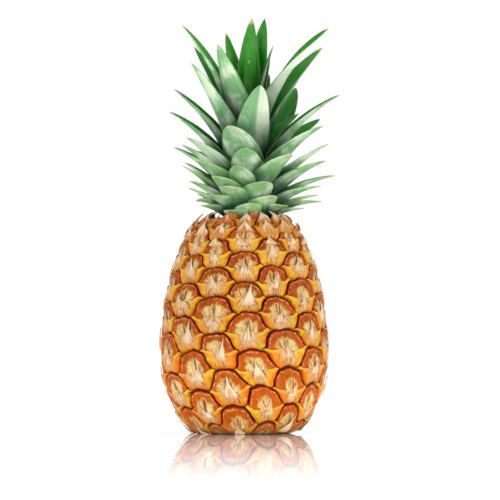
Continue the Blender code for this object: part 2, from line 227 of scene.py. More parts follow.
def without(geometry, selection, domain="POINT"):
    inputs = {"Geometry": geometry, "Selection": selection}
    return wire(geometry.tree, "GeometryNodeDeleteGeometry", inputs, domain=domain, mode="ALL")


def random_vector(tree, number, seed):
    inputs = {0: (0, 0, 0), 1: (1, 1, 1), "ID": number, "Seed": seed}
    return wire(tree, "FunctionNodeRandomValue", inputs, output=0, data_type="FLOAT_VECTOR")


def grown(name, make_tree, sizes, finish, seedling=None):
    """Makes a tree, ends it in the finish, runs it, and keeps the plain mesh that comes out."""
    tree, shape = make_tree(sizes)
    shape = wire(tree, "GeometryNodeRealizeInstances", {"Geometry": shape})
    shape = wire(tree, "GeometryNodeSetShadeSmooth", {"Geometry": shape, "Shade Smooth": True})
    shape = wire(tree, "GeometryNodeSetMaterial", {"Geometry": shape, "Material": finish})
    add_node(tree, "NodeGroupOutput", {0: shape})
    made = bpy.data.objects.new(name, seedling or bpy.data.meshes.new(name))
    bpy.context.scene.collection.objects.link(made)
    modifier = made.modifiers.new(name, "NODES")
    modifier.node_group = tree
    for socket in tree.interface.items_tree:
        if socket.in_out == "INPUT" and socket.name in sizes:
            modifier[socket.identifier] = sizes[socket.name]
    bpy.context.view_layer.update()
    graph = bpy.context.evaluated_depsgraph_get()
    plain = bpy.data.meshes.new_from_object(made.evaluated_get(graph))
    made.modifiers.remove(modifier)
    made.data = plain
    plain.materials.clear()
    plain.materials.append(finish)
    return made


def template(name, places, faces, attributes):
    """A small mesh that a tree repeats. It is kept out of the scene."""
    mesh = bpy.data.meshes.new(name)
    mesh.from_pydata([tuple(place) for place in places], [], faces)
    for label, values in attributes.items():
        held = mesh.attributes.new(label, "FLOAT_VECTOR", "POINT")
        held.data.foreach_set("vector", np.asarray(values, np.float32).ravel())
    return bpy.data.objects.new(name, mesh)


def grid_faces(rows, columns):
    """The four-sided faces of a grid of points that is numbered row by row."""
    corners = [row * columns + column for row in range(rows - 1) for column in range(columns - 1)]
    return [(k, k + 1, k + columns + 1, k + columns) for k in corners]


def filled_patch(bottom, top, left, right, across, up):
    """A grid of points between four edge lines that meet at their ends."""
    p, q = across[None, :, None], up[:, None, None]
    edges = (1 - q) * bottom[None] + q * top[None] + (1 - p) * left[:, None] + p * right[:, None]
    corners = (1 - q) * ((1 - p) * bottom[0] + p * bottom[-1]) + q * ((1 - p) * top[0] + p * top[-1])
    return edges - corners


def eye_side(share):
    """The dome's left side, from its low corner to its top corner, as one curve with two handles."""
    a, b, c, d = (np.array(handle) for handle in SIDE_HANDLES)
    t = share[:, None]
    return (1 - t) ** 3 * a + 3 * (1 - t) ** 2 * t * b + 3 * (1 - t) * t**2 * c + t**3 * d


def eye_template():
    """One eye laid flat, x in degrees of turn and y in rows, with closer points at its grooves.

    Its attribute eye_place holds the place across (-1 to 1), up (-1 the lower groove, 0 the bract's upper
    edge, 1 the upper groove) and the distance in millimetres to the nearest groove.
    """
    across = np.sin(np.linspace(-0.5, 0.5, EYE_COLUMNS + 1) * math.pi)
    up = 0.5 - 0.5 * np.cos(np.linspace(0, 1, EYE_ROWS + 1) * math.pi)
    top = np.stack([EYE_TOP_HALF_WIDTH * across, 1 + TOP_BULGE * (1 - across**2)], -1)
    ridge = np.stack([EYE_HALF_WIDTH * across, -RIDGE_SAG * (1 - across**2)], -1)
    left = eye_side(up)
    right = left * (-1, 1)
    neighbour = EYE_HALF_WIDTH + EYE_TOP_HALF_WIDTH
    low_left, low_right, low = right - (neighbour, 1), left + (neighbour, -1), top - (0, 2)
    bract = filled_patch(low, ridge, low_left, low_right, 0.5 + 0.5 * across, up)
    dome = filled_patch(ridge, top, left, right, 0.5 + 0.5 * across, up)
    flat = np.concatenate([bract, dome[1:]]).reshape(-1, 2)
    fine = np.linspace(0, 1, 160)
    fine_left = eye_side(fine)
    fine_top = np.stack([EYE_TOP_HALF_WIDTH * (2 * fine - 1), 1 + TOP_BULGE * 4 * fine * (1 - fine)], -1)
    grooves = [fine_left, fine_left * (-1, 1), fine_top, fine_top - (0, 2),
               fine_left * (-1, 1) - (neighbour, 1), fine_left + (neighbour, -1)]
    scale = np.array([MM_PER_DEGREE, MM_PER_ROW])
    line = np.concatenate(grooves) * scale
    distance = np.sqrt(((flat[:, None] * scale - line[None]) ** 2).sum(-1)).min(1)
    ups = np.repeat(np.concatenate([up - 1, up[1:]]), EYE_COLUMNS + 1)
    acrosses = np.tile(across, 2 * EYE_ROWS + 1)
    edge = (np.abs(acrosses) > 1 - 1e-9) | (np.abs(ups) > 1 - 1e-9)
    distance[edge] = 0.0
    attributes = {"eye_place": np.stack([acrosses, ups, distance], -1),
                  "eye_flat": np.column_stack([flat * scale, np.zeros(len(flat))])}
    places = np.column_stack([flat, np.zeros(len(flat))])
    return template("eye", places, grid_faces(2 * EYE_ROWS + 1, EYE_COLUMNS + 1), attributes)


def smooth_max(a, b, rounding):
    near = worked("MAXIMUM", rounding - worked("ABSOLUTE", a - b), 0.0) / rounding
    return worked("MAXIMUM", a, b) + near * near * rounding / 4.0


def fruit_outline(tree, size):
    """The fruit's outline, a curve in the X-Z plane: half an egg, cut flat below and above by soft limits."""
    line = wire(tree, "GeometryNodeCurvePrimitiveLine")
    line = wire(tree, "GeometryNodeResampleCurve", {"Curve": line, "Count": OUTLINE_POINTS})
    share = wire(tree, "GeometryNodeSplineParameter")
    swing = (share - 0.5) * math.pi
    upper = worked("GREATER_THAN", swing, 0.0)
    half_axis = lerp(size["Lower half axis"], size["Upper half axis"], upper)
    radius = size["Fruit radius"] * cosine(swing)
    height = smooth_max(size["Widest height"] + half_axis * sine(swing), swing * 0.0, size["Base rounding"])
    height = -1.0 * smooth_max(-1.0 * height, -1.0 * size["Fruit top"], size["Shoulder rounding"])
    return wire(tree, "GeometryNodeSetPosition", {"Geometry": line, "Position": vector(radius, 0.0, height)})


def waves(waves_here, angle, row):
    total = 0.0
    for turns, rows, start, size in waves_here:
        total = total + size * sine(turns * angle + rows * row + start)
    return total


def spiral_to_surface(turn, row):
    """The turn and the length along the outline of a place in the spiral's even lattice."""
    angle = turn * math.radians(1.0)
    below = worked("MAXIMUM", DRIFT_BELOW_ROW - row, 0.0)
    drift = DRIFT_PER_ROW * below * below / (below + 1.0) + waves(TURN_WAVES, angle, row)
    row = row + waves(ROW_WAVES, angle, row)
    return turn + drift, FIRST_ROW_ALONG + ROW_STEP * row - ROW_STEP_LOSS * row * row


def on_outline(outline, turn, along, lift):
    """A place at this turn and length along the outline, lifted off the surface."""
    inputs = {"Curves": outline, "Length": along}
    sampled = add_node(outline.tree, "GeometryNodeSampleCurve", inputs, mode="LENGTH")
    radius, _, height = parts_of(Wire(outline.tree, sampled.outputs["Position"]))
    tangent_r, _, tangent_z = parts_of(Wire(outline.tree, sampled.outputs["Tangent"]))
    reach = radius + lift * tangent_z
    angle = turn * math.radians(1.0)
    height = worked("MAXIMUM", height - lift * tangent_r, 0.0)
    return vector(reach * sine(angle), -1.0 * reach * cosine(angle), height)


def wobbled(outline, turn, along):
    """Nothing grown is even: slow and quick bends of a millimetre or less shift each place along the skin."""
    even = on_outline(outline, turn, along, turn * 0.0)
    inputs = {"Vector": even, "Scale": 75.0, "Detail": 1.0}
    slow = parts_of(wire(outline.tree, "ShaderNodeTexNoise", inputs, output=1))
    inputs = {"Vector": even, "Scale": 330.0, "Detail": 0.0}
    quick = parts_of(wire(outline.tree, "ShaderNodeTexNoise", inputs, output=1))
    shift = [(a - 0.5) * (2 * WOBBLE) + (b - 0.5) * (2 * FINE_WOBBLE) for a, b in zip(slow, quick)]
    away_from_pole = smooth(along, 0.030, 0.040)
    turned = shift[0] * away_from_pole * (180 / math.pi / FRUIT_RADIUS)
    return turn + turned, along + shift[1] * away_from_pole


def relief_share(row):
    """Full relief on the fruit's side, none where its flat base and flat top begin."""
    low = wire(row.tree, "ShaderNodeMapRange", {0: row, 1: RELIEF_STARTS, 2: RELIEF_STARTS + RELIEF_RISE})
    high = wire(row.tree, "ShaderNodeMapRange", {0: row, 1: RELIEF_ENDS, 2: RELIEF_ENDS - RELIEF_RISE})
    return worked("MINIMUM", low, high)


def above_ridge(x, y):
    """Millimetres above the bract's upper edge, which runs up beside the dome at both ends."""
    return y - RIDGE_MIDDLE - RIDGE_CURVE * x * x - RIDGE_HORN * smooth(worked("ABSOLUTE", x), 8.5, 14.5)


def eye_lift(place, flat, draw, skin_noise, fine_noise):
    """How far a place of an eye stands off the even skin, in metres."""
    _, up, edge = parts_of(place)
    x, y, _ = parts_of(flat)
    above = above_ridge(x, y)
    draw_a, draw_b, _ = parts_of(draw)
    rim = bump_at(edge, 1.7, 1.1)
    dome = DOME_LIFT + RIM_TOOTH_LIFT * rim * smooth(fine_noise, 0.40, 0.60)
    dome = dome + DOME_SWELL * smooth(edge, 2.6, 6.5) * draw_a + DOME_UNEVENNESS * (skin_noise - 0.5)
    down = worked("MAXIMUM", -1.0 * up, 0.0)
    bract = RIDGE_LIFT - BRACT_FALL * down - BRACT_CURVE * down * down
    keel = bump_at(x, 0.0, 4.6) * smooth(down, 1.0, 0.2) * (KEEL_LIFT + KEEL_SPREAD * draw_b)
    spread = worked("ARCTAN2", x, 3.0 - y)
    ribs = noise(vector(spread * 9.0, draw_a * 40.0, draw_b * 40.0), 1.0, 1.0) - 0.5
    paper = bump_at(x, 0.0, 8.5) * smooth(down, 1.0, 0.6)
    bract = bract + keel + PAPER_RIB_LIFT * ribs * paper + BRACT_UNEVENNESS * (skin_noise - 0.5)
    lift = lerp(bract, dome, smooth(above, 0.0, 1.0))
    wall = smooth(edge, 0.0, lerp(0.75, 1.15, smooth(above, 0.0, 1.0)))
    return (lift + GROOVE_DEPTH) * wall - GROOVE_DEPTH


def rind_tree(sizes):
    """Eyes on the spiral, then bent onto the fruit, cut off past its flat ends and closed there."""
    tree, size = new_tree("Rind", sizes)
    outline = fruit_outline(tree, size)
    number = wire(tree, "GeometryNodeInputIndex") + size["First eye"]
    eye_turn = worked("FLOORED_MODULO", size["Turn step"] * number, 360.0)
    eye_row = 1.0 + number / EYES_PER_TURN
    inputs = {"Count": size["Eye count"], "Position": vector(eye_turn, eye_row)}
    spots = wire(tree, "GeometryNodePoints", inputs)
    spots = stored(spots, "eye_spot", vector(eye_turn, eye_row, number))
    spots = stored(spots, "eye_draw", random_vector(tree, number, 4))
    eye = wire(tree, "GeometryNodeObjectInfo", {"Object": size["Eye"]}, output="Geometry")
    eyes = wire(tree, "GeometryNodeInstanceOnPoints", {"Points": spots, "Instance": eye})
    eyes = wire(tree, "GeometryNodeRealizeInstances", {"Geometry": eyes})
    turn, level, _ = parts_of(wire(tree, "GeometryNodeInputPosition"))
    eye_turn, _, _ = parts_of(attribute(tree, "eye_spot"))
    row = level + (turn - eye_turn) / 360.0
    beyond = worked("GREATER_THAN", worked("ABSOLUTE", row - 0.5 * (LOWEST_ROW + HIGHEST_ROW)),
                    0.5 * (HIGHEST_ROW - LOWEST_ROW))
    eyes = without(eyes, beyond)
    spiral_turn, spiral_along = spiral_to_surface(turn, row)
    spiral_turn, spiral_along = wobbled(outline, spiral_turn, spiral_along)
    even = on_outline(outline, spiral_turn, spiral_along, turn * 0.0)
    skin_noise, fine_noise = noise(even, 260.0, 1.0), noise(even, 560.0, 1.0)
    place, flat, draw = (attribute(tree, name) for name in ("eye_place", "eye_flat", "eye_draw"))
    lift = eye_lift(place, flat, draw, skin_noise, fine_noise) * relief_share(row)
    bent = on_outline(outline, spiral_turn, spiral_along, lift)
    eyes = wire(tree, "GeometryNodeSetPosition", {"Geometry": eyes, "Position": bent})
    eyes = wire(tree, "GeometryNodeMergeByDistance", {"Geometry": eyes, "Distance": MERGE_DISTANCE})
    open_edge = wire(tree, "FunctionNodeCompare", {2: wire(tree, "GeometryNodeInputMeshEdgeNeighbors"), 3: 1},
                     data_type="INT", operation="EQUAL")
    inputs = {"Mesh": eyes, "Selection": open_edge, "Offset Scale": 0.0}
    rim = add_node(tree, "GeometryNodeExtrudeMesh", inputs, mode="EDGES")
    _, _, height = parts_of(wire(tree, "GeometryNodeInputPosition"))
    upper = worked("GREATER_THAN", height, size["Widest height"])
    pole = vector(0.0, 0.0, lerp(STALK_RECESS_DEPTH, size["Fruit top"], upper))
    inputs = {"Geometry": Wire(tree, rim.outputs["Mesh"]), "Selection": Wire(tree, rim.outputs["Top"]),
              "Position": pole}
    closed = wire(tree, "GeometryNodeSetPosition", inputs)
    closed = wire(tree, "GeometryNodeMergeByDistance", {"Geometry": closed, "Distance": MERGE_DISTANCE})
    faces_beside = {"EDGE": wire(tree, "GeometryNodeInputMeshEdgeNeighbors"),
                    "POINT": wire(tree, "GeometryNodeInputMeshVertexNeighbors", output="Face Count")}
    for domain, beside in faces_beside.items():
        bare = wire(tree, "FunctionNodeCompare", {2: beside, 3: 0}, data_type="INT", operation="EQUAL")
        closed = without(closed, bare, domain)
    return tree, closed


def colour(red, green, blue, light=COLOUR_IN_FULL_LIGHT):
    """A colour as a screen shows it in full light, 0 to 255, in the linear values that shaders take."""
    return tuple(light * ((value / 255 + 0.055) / 1.055) ** 2.4 for value in (red, green, blue)) + (1.0,)


def tinted(under, over, share):
    """One colour painted over another where the share is 1."""
    return wire(share.tree, "ShaderNodeMix", {0: share, 6: under, 7: over}, output=2, data_type="RGBA")


def new_finish(name, roughness, specular=0.4):
    finish = bpy.data.materials.new(name)
    finish.use_nodes = True
    shader = finish.node_tree.nodes["Principled BSDF"]
    shader.inputs["Roughness"].default_value = roughness
    shader.inputs["Specular IOR Level"].default_value = specular
    return finish, finish.node_tree, shader


def seen(tree, name):
    return wire(tree, "ShaderNodeAttribute", output="Vector", attribute_name=name)


def object_place(tree):
    return wire(tree, "ShaderNodeTexCoord", output="Object")


def raised(shader, height, distance):
    """A fine relief, as wide as its distance, on top of the mesh's own."""
    tree = height.tree
    bump = wire(tree, "ShaderNodeBump", {"Height": height, "Distance": distance, "Strength": 0.8})
    tree.links.new(bump.socket, shader.inputs["Normal"])


def painted_floor_light(skin, height):
    """Painted light: the same colours are brighter on the lowest eyes, standing in for light thrown up from
    the white floor.
    """
    low_down_amount = 1.0 + FLOOR_LIGHT_BRIGHTENING * smooth(height, FLOOR_LIGHT_BELOW, FLOOR_LIGHT_FULL_BELOW)
    return wire(skin.tree, "ShaderNodeVectorMath", {0: skin, "Scale": low_down_amount}, operation="SCALE")


def rind_finish():
    finish, tree, shader = new_finish("rind", 0.42, 0.06)
    place = object_place(tree)
    _, _, height = parts_of(place)
    _, up, edge = parts_of(seen(tree, "eye_place"))
    x, y, _ = parts_of(seen(tree, "eye_flat"))
    draw_a, draw_b, draw_c = parts_of(seen(tree, "eye_draw"))
    broad, middle, fine = noise(place, 55.0, 2.0), noise(place, 240.0, 3.0), noise(place, 1100.0, 2.0)
    low_down = smooth(height, 0.13, 0.02)
    above = above_ridge(x, y)
    is_dome = smooth(above, -0.05, 0.15)

    spread = worked("ARCTAN2", x, 6.0 + y)
    streaks = noise(vector(spread * 7.0, draw_a * 50.0 + y * 0.07, draw_b * 50.0), 1.0, 3.0)
    dome = tinted(colour(190, 88, 14), colour(150, 54, 4), smooth(middle, 0.40, 0.66))
    dome = tinted(dome, colour(226, 132, 40), smooth(streaks, 0.54, 0.74) * 0.6)
    blush = smooth(broad + 0.5 * (streaks - 0.5), 0.48, 0.62) * smooth(edge, 5.5, 1.0)
    dome = tinted(dome, colour(206, 48, 10), blush * 0.9)
    dome = tinted(dome, colour(236, 118, 8), low_down * 0.4)
    blotch_x = (x + (draw_a - 0.5) * 2.0) / (8.0 + 1.2 * draw_c)
    blotch_y = (y - 0.6 - 0.8 * draw_b) / 7.4
    blotch = worked("SQRT", blotch_x * blotch_x + blotch_y * blotch_y) + (middle - 0.5) * 0.7
    blotch = blotch + (streaks - 0.5) * 0.55 + 0.25 * draw_b
    dome = tinted(dome, colour(218, 136, 44), smooth(blotch, 1.05, 0.86))
    dome = tinted(dome, colour(252, 220, 148), smooth(blotch, 0.98, 0.72) * 0.9)
    aside = worked("ABSOLUTE", x)
    lobes = bump_at(aside, 3.4 + draw_b, 2.6) * smooth(blotch + (fine - 0.5) * 0.5, 0.95, 0.60)
    dome = tinted(dome, colour(255, 230, 164), lobes * 0.8)
    dome = tinted(dome, colour(200, 112, 44), smooth(streaks, 0.50, 0.38) * smooth(blotch, 1.0, 0.6) * 0.9)
    # Painted shadow: a dark wedge on the dome along one side of the spear, where the raised spear would shade
    # it.
    spear_shadow = bump_at(x - 1.0 - 0.10 * y * (draw_b - 0.2) + (middle - 0.5) * 1.6, 0.0, 1.3)
    spear_shadow = spear_shadow * smooth(y, 9.0, 5.0) * smooth(draw_c, 0.15, 0.5)
    dome = tinted(dome, colour(112, 46, 16), spear_shadow * 0.85)
    freckles = smooth(fine * 0.5 + middle * 0.5, 0.51, 0.60) * smooth(blotch, 1.0, 0.4)
    dome = tinted(dome, colour(160, 88, 26), freckles * 0.55)
    # Painted highlight: broken pinkish glints just inside each dome's rim.
    rim_glints = smooth(noise(place, 560.0, 1.0), 0.46, 0.60)
    dome = tinted(dome, colour(244, 176, 128), bump_at(edge, 1.9, 0.8) * rim_glints * smooth(y, -1.0, 3.0) * 0.85)
    # The groove's dark maroon line round each dome: partly its own colour, partly painted shade in the
    # crease.
    dome = tinted(dome, colour(112, 26, 8), smooth(edge + (middle - 0.5) * 1.4, 1.6, 0.7))
    # Painted shadow: a thin dark line on the dome just above the bract's raised edge, away from the middle,
    # where that edge would shade it.
    ridge_shadow = smooth(above, 0.7, 0.1) * smooth(aside + (middle - 0.5) * 8.0, 3.0, 9.0)
    dome = tinted(dome, colour(112, 56, 16), ridge_shadow)

    bract = tinted(colour(236, 166, 4), colour(204, 100, 4), smooth(edge + (middle - 0.5) * 3.0, 3.0, 0.4))
    bract = tinted(bract, colour(248, 196, 30), smooth(broad + (middle - 0.5), 0.50, 0.78) * 0.8)
    low_down_amount = smooth(broad + 0.4 * (middle - 0.5), 0.60, 0.40) * low_down
    bract = tinted(bract, colour(248, 112, 8), low_down_amount * 0.9)
    down = -1.0 * up
    # Painted highlight: a pale yellow band along the bract's raised upper edge, left out in the middle where
    # the spear's root lies.
    bract = tinted(bract, colour(252, 212, 80), bump_at(above, -1.0, 1.3) * smooth(aside, 2.0, 5.0) * 0.6)
    fan = worked("ARCTAN2", x, 5.0 - y)
    fibres = noise(vector(fan * 13.0, draw_a * 50.0 + y * 0.14, draw_b * 50.0), 1.0, 3.0)
    paper_reach = (5.2 + 3.2 * draw_c) * (1.0 - 0.30 * down)
    ragged = worked("ABSOLUTE", x + (draw_b - 0.5) * 2.0) / paper_reach
    ragged = ragged + (fibres - 0.5) * 1.9 + (middle - 0.5) * 0.9
    paper = smooth(ragged, 1.10, 0.62)
    paper = paper * smooth(down + (fibres - 0.5) * 1.5 + (draw_a - 0.5) * 0.3, 0.92, 0.50)
    glow = bump_at(x, 0.0, 11.0) * smooth(down, 0.95, 0.30)
    bract = tinted(bract, colour(252, 220, 120), glow * 0.6)
    bract = tinted(bract, colour(234, 176, 112), paper)
    bract = tinted(bract, colour(255, 234, 196), smooth(fibres, 0.49, 0.60) * paper * 0.95)
    bract = tinted(bract, colour(172, 88, 44), smooth(fibres, 0.45, 0.37) * paper * 0.85)
    specks = smooth(noise(vector(x * 0.9, y * 0.55, draw_c * 30.0), 1.0, 1.0), 0.64, 0.72) * paper
    bract = tinted(bract, colour(92, 44, 22), specks * 0.85)
    # The bract's darker orange edge at the groove: partly its own colour, partly painted shade in the crease.
    bract = tinted(bract, colour(156, 62, 6), smooth(edge, 0.45, 0.12) * 0.7)

    _, row, _ = parts_of(seen(tree, "eye_spot"))
    rusty = smooth(row, 11.2, 12.6) * smooth(broad + (fibres - 0.5) * 0.8, 0.36, 0.56)
    bract = tinted(bract, colour(204, 104, 34), rusty * 0.8)
    skin = tinted(bract, dome, is_dome)
    # Painted light from the white floor brightens the lowest eyes.
    skin = painted_floor_light(skin, height)
    # The bottom centimetre is tinted a light tan: partly the dry base's own colour, partly painted light from
    # the white floor on the shaded underside.
    dry_and_floor_lit_base = smooth(height + (middle - 0.5) * 0.012, 0.010, 0.001)
    skin = tinted(skin, colour(216, 140, 70), dry_and_floor_lit_base * 0.5)
    tree.links.new(skin.socket, shader.inputs["Base Color"])
    raised(shader, middle * 0.5 + fine * 0.5 + fibres * paper * 1.5, 0.0006)
    return finish


fruit_sizes = {
    "Turn step": TURN_STEP,
    "Fruit radius": FRUIT_RADIUS,
    "Widest height": WIDEST_HEIGHT,
    "Fruit top": FRUIT_TOP,
    "Lower half axis": LOWER_HALF_AXIS,
    "Upper half axis": UPPER_HALF_AXIS,
    "Base rounding": BASE_ROUNDING,
    "Shoulder rounding": SHOULDER_ROUNDING,
}
rind_sizes = {
    "Eye": eye_template(),
    "Eye count": EYE_COUNT,
    "First eye": float(FIRST_EYE),
    **fruit_sizes,
}
rind = grown("rind", rind_tree, rind_sizes, rind_finish())
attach(rind, "root")
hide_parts("fruit")


# The bract tips. The middle of each bract runs out in a papery spear that dried after the flower. It grows
# from the bract's upper edge and lies over the dome, a little off it. Round the crown they are more upright.

FIRST_TIP = -12
TIP_COUNT = 112
FIRST_SPARE_TIP = 74.5
SPARE_TIP_COUNT = 18
TIP_LENGTH = 0.0125
TIP_HALF_WIDTH = 0.0040
TIP_ROOT_HALF_WIDTH = 0.0048
TIP_ROOT_BELOW = 0.45
TIP_LIFT = 0.0026
TIP_RISE = 0.0007
TIP_DROOP = 0.0007
TIP_ROOT_SINK = 0.0130
TIP_RIB_LIFT = 0.0010
TIP_ROLL = 0.25
TIP_THICKNESS = 0.0006
TIP_END_THICKNESS = 0.00035
TIP_SWAY = 3.2
TIP_SWAY_SPREAD = 1.6
SWAY_STEP = 2.4
COLLAR_ROW = 11.3
COLLAR_TIP_LENGTH = 0.0085
COLLAR_TIP_RISE = 0.0020
COLLAR_SWELL = 0.55
TIP_STATIONS = (-0.2, -0.12, -0.05, 0.0, 0.12, 0.26, 0.42, 0.58, 0.74, 0.88, 1.0)
TIP_RING = ((-1.0, 0.5), (-0.7, 0.0), (-0.35, 0.0), (0.0, 0.0), (0.35, 0.0), (0.7, 0.0), (1.0, 0.5),
            (0.5, 1.0), (-0.5, 1.0))


def tube_faces(rings, around):
    """The faces of a closed tube of numbered rings, with both ends capped."""
    faces = [(low * around + k, low * around + (k + 1) % around,
              (low + 1) * around + (k + 1) % around, (low + 1) * around + k)
             for low in range(rings - 1) for k in range(around)]
    last = (rings - 1) * around
    return faces + [tuple(reversed(range(around))), tuple(range(last, last + around))]


def tip_template():
    """One spear as rings. tip_place holds the share of its length, the place across and the depth."""
    places = np.array([(share, side, depth) for share in TIP_STATIONS for side, depth in TIP_RING])
    return template("tip", places, tube_faces(len(TIP_STATIONS), len(TIP_RING)), {"tip_place": places})


def tips_tree(sizes):
    """Spears rooted on the spiral under each dome's lower edge, bent along the skin."""
    tree, size = new_tree("Bract tips", sizes)
    outline = fruit_outline(tree, size)
    number = wire(tree, "GeometryNodeInputIndex")
    is_spare = worked("GREATER_THAN", number, TIP_COUNT - 0.5)
    number = number + lerp(size["First tip"], FIRST_SPARE_TIP - TIP_COUNT, is_spare)
    turn = worked("FLOORED_MODULO", size["Turn step"] * number, 360.0)
    spots = wire(tree, "GeometryNodePoints", {"Count": size["Tip count"]})
    spots = stored(spots, "eye_spot", vector(turn, 1.0 + number / EYES_PER_TURN, number))
    spots = stored(spots, "eye_draw", random_vector(tree, number, 4))
    spear = wire(tree, "GeometryNodeObjectInfo", {"Object": size["Spear"]}, output="Geometry")
    spears = wire(tree, "GeometryNodeInstanceOnPoints", {"Points": spots, "Instance": spear})
    spears = wire(tree, "GeometryNodeRealizeInstances", {"Geometry": spears})
    turn, row, number = parts_of(attribute(tree, "eye_spot"))
    draw_a, draw_b, draw_c = parts_of(attribute(tree, "eye_draw"))
    share, side, depth = parts_of(attribute(tree, "tip_place"))
    free, rooted = worked("MAXIMUM", share, 0.0), worked("MINIMUM", share, 0.0)
    collar = smooth(row, COLLAR_ROW, COLLAR_ROW + 1.0)
    length = size["Tip length"] * (1.0 - 0.3 * smooth(row, 8.0, 11.0)) * (0.60 + 0.65 * draw_a)
    length = lerp(length, size["Collar tip length"] * (0.40 + 1.3 * draw_b * draw_a), collar)
    root_turn, root_along = spiral_to_surface(turn, row - TIP_ROOT_BELOW)
    root_turn, root_along = wobbled(outline, root_turn, root_along)
    rough_edge = noise(vector(share * 8.0, side * 1.2, number * 3.7), 1.0, 2.0) - 0.5
    taper = lerp(1.0, 0.20, smooth(free, 0.12, 0.72)) * (1.02 - worked("POWER", free, 4.0))
    taper = taper * (1.0 + 1.1 * rough_edge)
    half = lerp(TIP_ROOT_HALF_WIDTH, TIP_HALF_WIDTH, smooth(share, -0.15, 0.15)) * taper
    half = half * (0.8 + 0.45 * draw_c) * (1.0 + COLLAR_SWELL * collar)
    along = root_along + length * share
    middle = parts_of(on_outline(outline, turn * 0.0, along, turn * 0.0))
    girth = worked("ABSOLUTE", middle[1]) + 0.001
    sway = TIP_SWAY * sine(SWAY_STEP * number) + TIP_SWAY_SPREAD * (draw_b - 0.5)
    curl = (draw_a - 0.5) * 1.4 * free * free
    twist = (draw_b - 0.5) * 1.1 * free
    ribs = noise(vector(side * 2.4, share * 1.1, number * 5.3), 1.0, 1.0) - 0.5
    rise = size["Tip rise"] * (0.2 + 1.5 * draw_c * draw_c + collar)
    lift = TIP_LIFT + rise * free - TIP_DROOP * smooth(free, 0.4, 0.9) + TIP_ROOT_SINK * rooted
    lift = lift + TIP_RIB_LIFT * ribs + half * (twist * side - TIP_ROLL * side * side)
    lift = lift - depth * lerp(TIP_THICKNESS, TIP_END_THICKNESS, free)
    tip_turn = root_turn + sway * free + curl + side * half / girth * (180 / math.pi)
    x, y, height = parts_of(on_outline(outline, tip_turn, along, lift))
    bent = vector(x, y, height + collar * COLLAR_TIP_RISE * free)
    return tree, wire(tree, "GeometryNodeSetPosition", {"Geometry": spears, "Position": bent})


def tip_finish():
    finish, tree, shader = new_finish("paper_tip", 0.8, 0.08)
    share, side, _ = parts_of(seen(tree, "tip_place"))
    draw_a, draw_b, _ = parts_of(seen(tree, "eye_draw"))
    fibres = noise(vector(side * 3.2, share * 0.9, draw_a * 60.0), 1.0, 3.0)
    paper = tinted(colour(228, 180, 134), colour(252, 230, 196), smooth(fibres, 0.42, 0.58))
    paper = tinted(paper, colour(178, 106, 64), smooth(fibres, 0.46, 0.34) * 0.9)
    paper = tinted(paper, colour(242, 196, 140), smooth(share + (fibres - 0.5) * 0.9, 0.26, -0.02) * 0.85)
    paper = tinted(paper, colour(206, 140, 78), smooth(worked("ABSOLUTE", side), 0.70, 1.0) * 0.6)
    _, row, _ = parts_of(seen(tree, "eye_spot"))
    collar = smooth(row, COLLAR_ROW, COLLAR_ROW + 1.0)
    rusty = collar * smooth(share + (fibres - 0.5) * 1.2 + draw_b * 0.6, 0.95, 0.35)
    paper = tinted(paper, colour(206, 108, 30), rusty * 0.9)
    paper = tinted(paper, colour(158, 66, 20), collar * smooth(fibres + draw_b * 0.1, 0.52, 0.38) * 0.8)
    paper = tinted(paper, colour(226, 186, 92), collar * smooth(draw_a, 0.78, 0.86) * 0.4)
    paper = tinted(paper, colour(150, 92, 56), smooth(share, 0.80, 1.05) * smooth(draw_b, 0.25, 0.6))
    _, _, height = parts_of(object_place(tree))
    # Painted light from the white floor brightens the lowest spears.
    tree.links.new(painted_floor_light(paper, height).socket, shader.inputs["Base Color"])
    raised(shader, fibres, 0.0004)
    return finish


tip_sizes = {
    **fruit_sizes,
    "Spear": tip_template(),
    "Tip count": TIP_COUNT + SPARE_TIP_COUNT,
    "First tip": float(FIRST_TIP),
    "Tip length": TIP_LENGTH,
    "Collar tip length": COLLAR_TIP_LENGTH,
    "Tip rise": TIP_RISE,
}
tips = grown("bract_tips", tips_tree, tip_sizes, tip_finish())
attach(tips, "root")
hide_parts("fruit")


# The cut stalk. The fruit was cut off its stalk flush with its base. The cut face is dry and woody, with the
# ends of the stalk's strands in it as darker dots, and a thin brown skin round it.


def stalk_finish():
    finish, tree, shader = new_finish("cut_stalk", 0.8, 0.25)
    place = object_place(tree)
    x, y, _ = parts_of(place)
    reach = worked("SQRT", x * x + y * y)
    strands = wire(tree, "ShaderNodeTexVoronoi", {"Vector": place, "Scale": 620.0})
    grain = noise(place, 300.0, 3.0)
    face = tinted(colour(206, 176, 122), colour(176, 138, 88), smooth(grain, 0.4, 0.7))
    face = tinted(face, colour(126, 88, 52), smooth(strands, 0.35, 0.15) * 0.8)
    face = tinted(face, colour(112, 76, 44), smooth(reach + (grain - 0.5) * 0.002, 0.0118, 0.0130))
    tree.links.new(face.socket, shader.inputs["Base Color"])
    raised(shader, grain - smooth(strands, 0.35, 0.15) * 0.5, 0.0006)
    return finish


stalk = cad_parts["stalk"]
stalk.data.materials.clear()
stalk.data.materials.append(stalk_finish())


# The crown. A short stem on top of the fruit carries some seventy stiff leaves. Each is a gutter that clasps
# the stem, with fine spines along its margins, pale wax outside, deep green inside and a dry point. The
# lowest are short and yellower, the upper ones long and nearly upright.

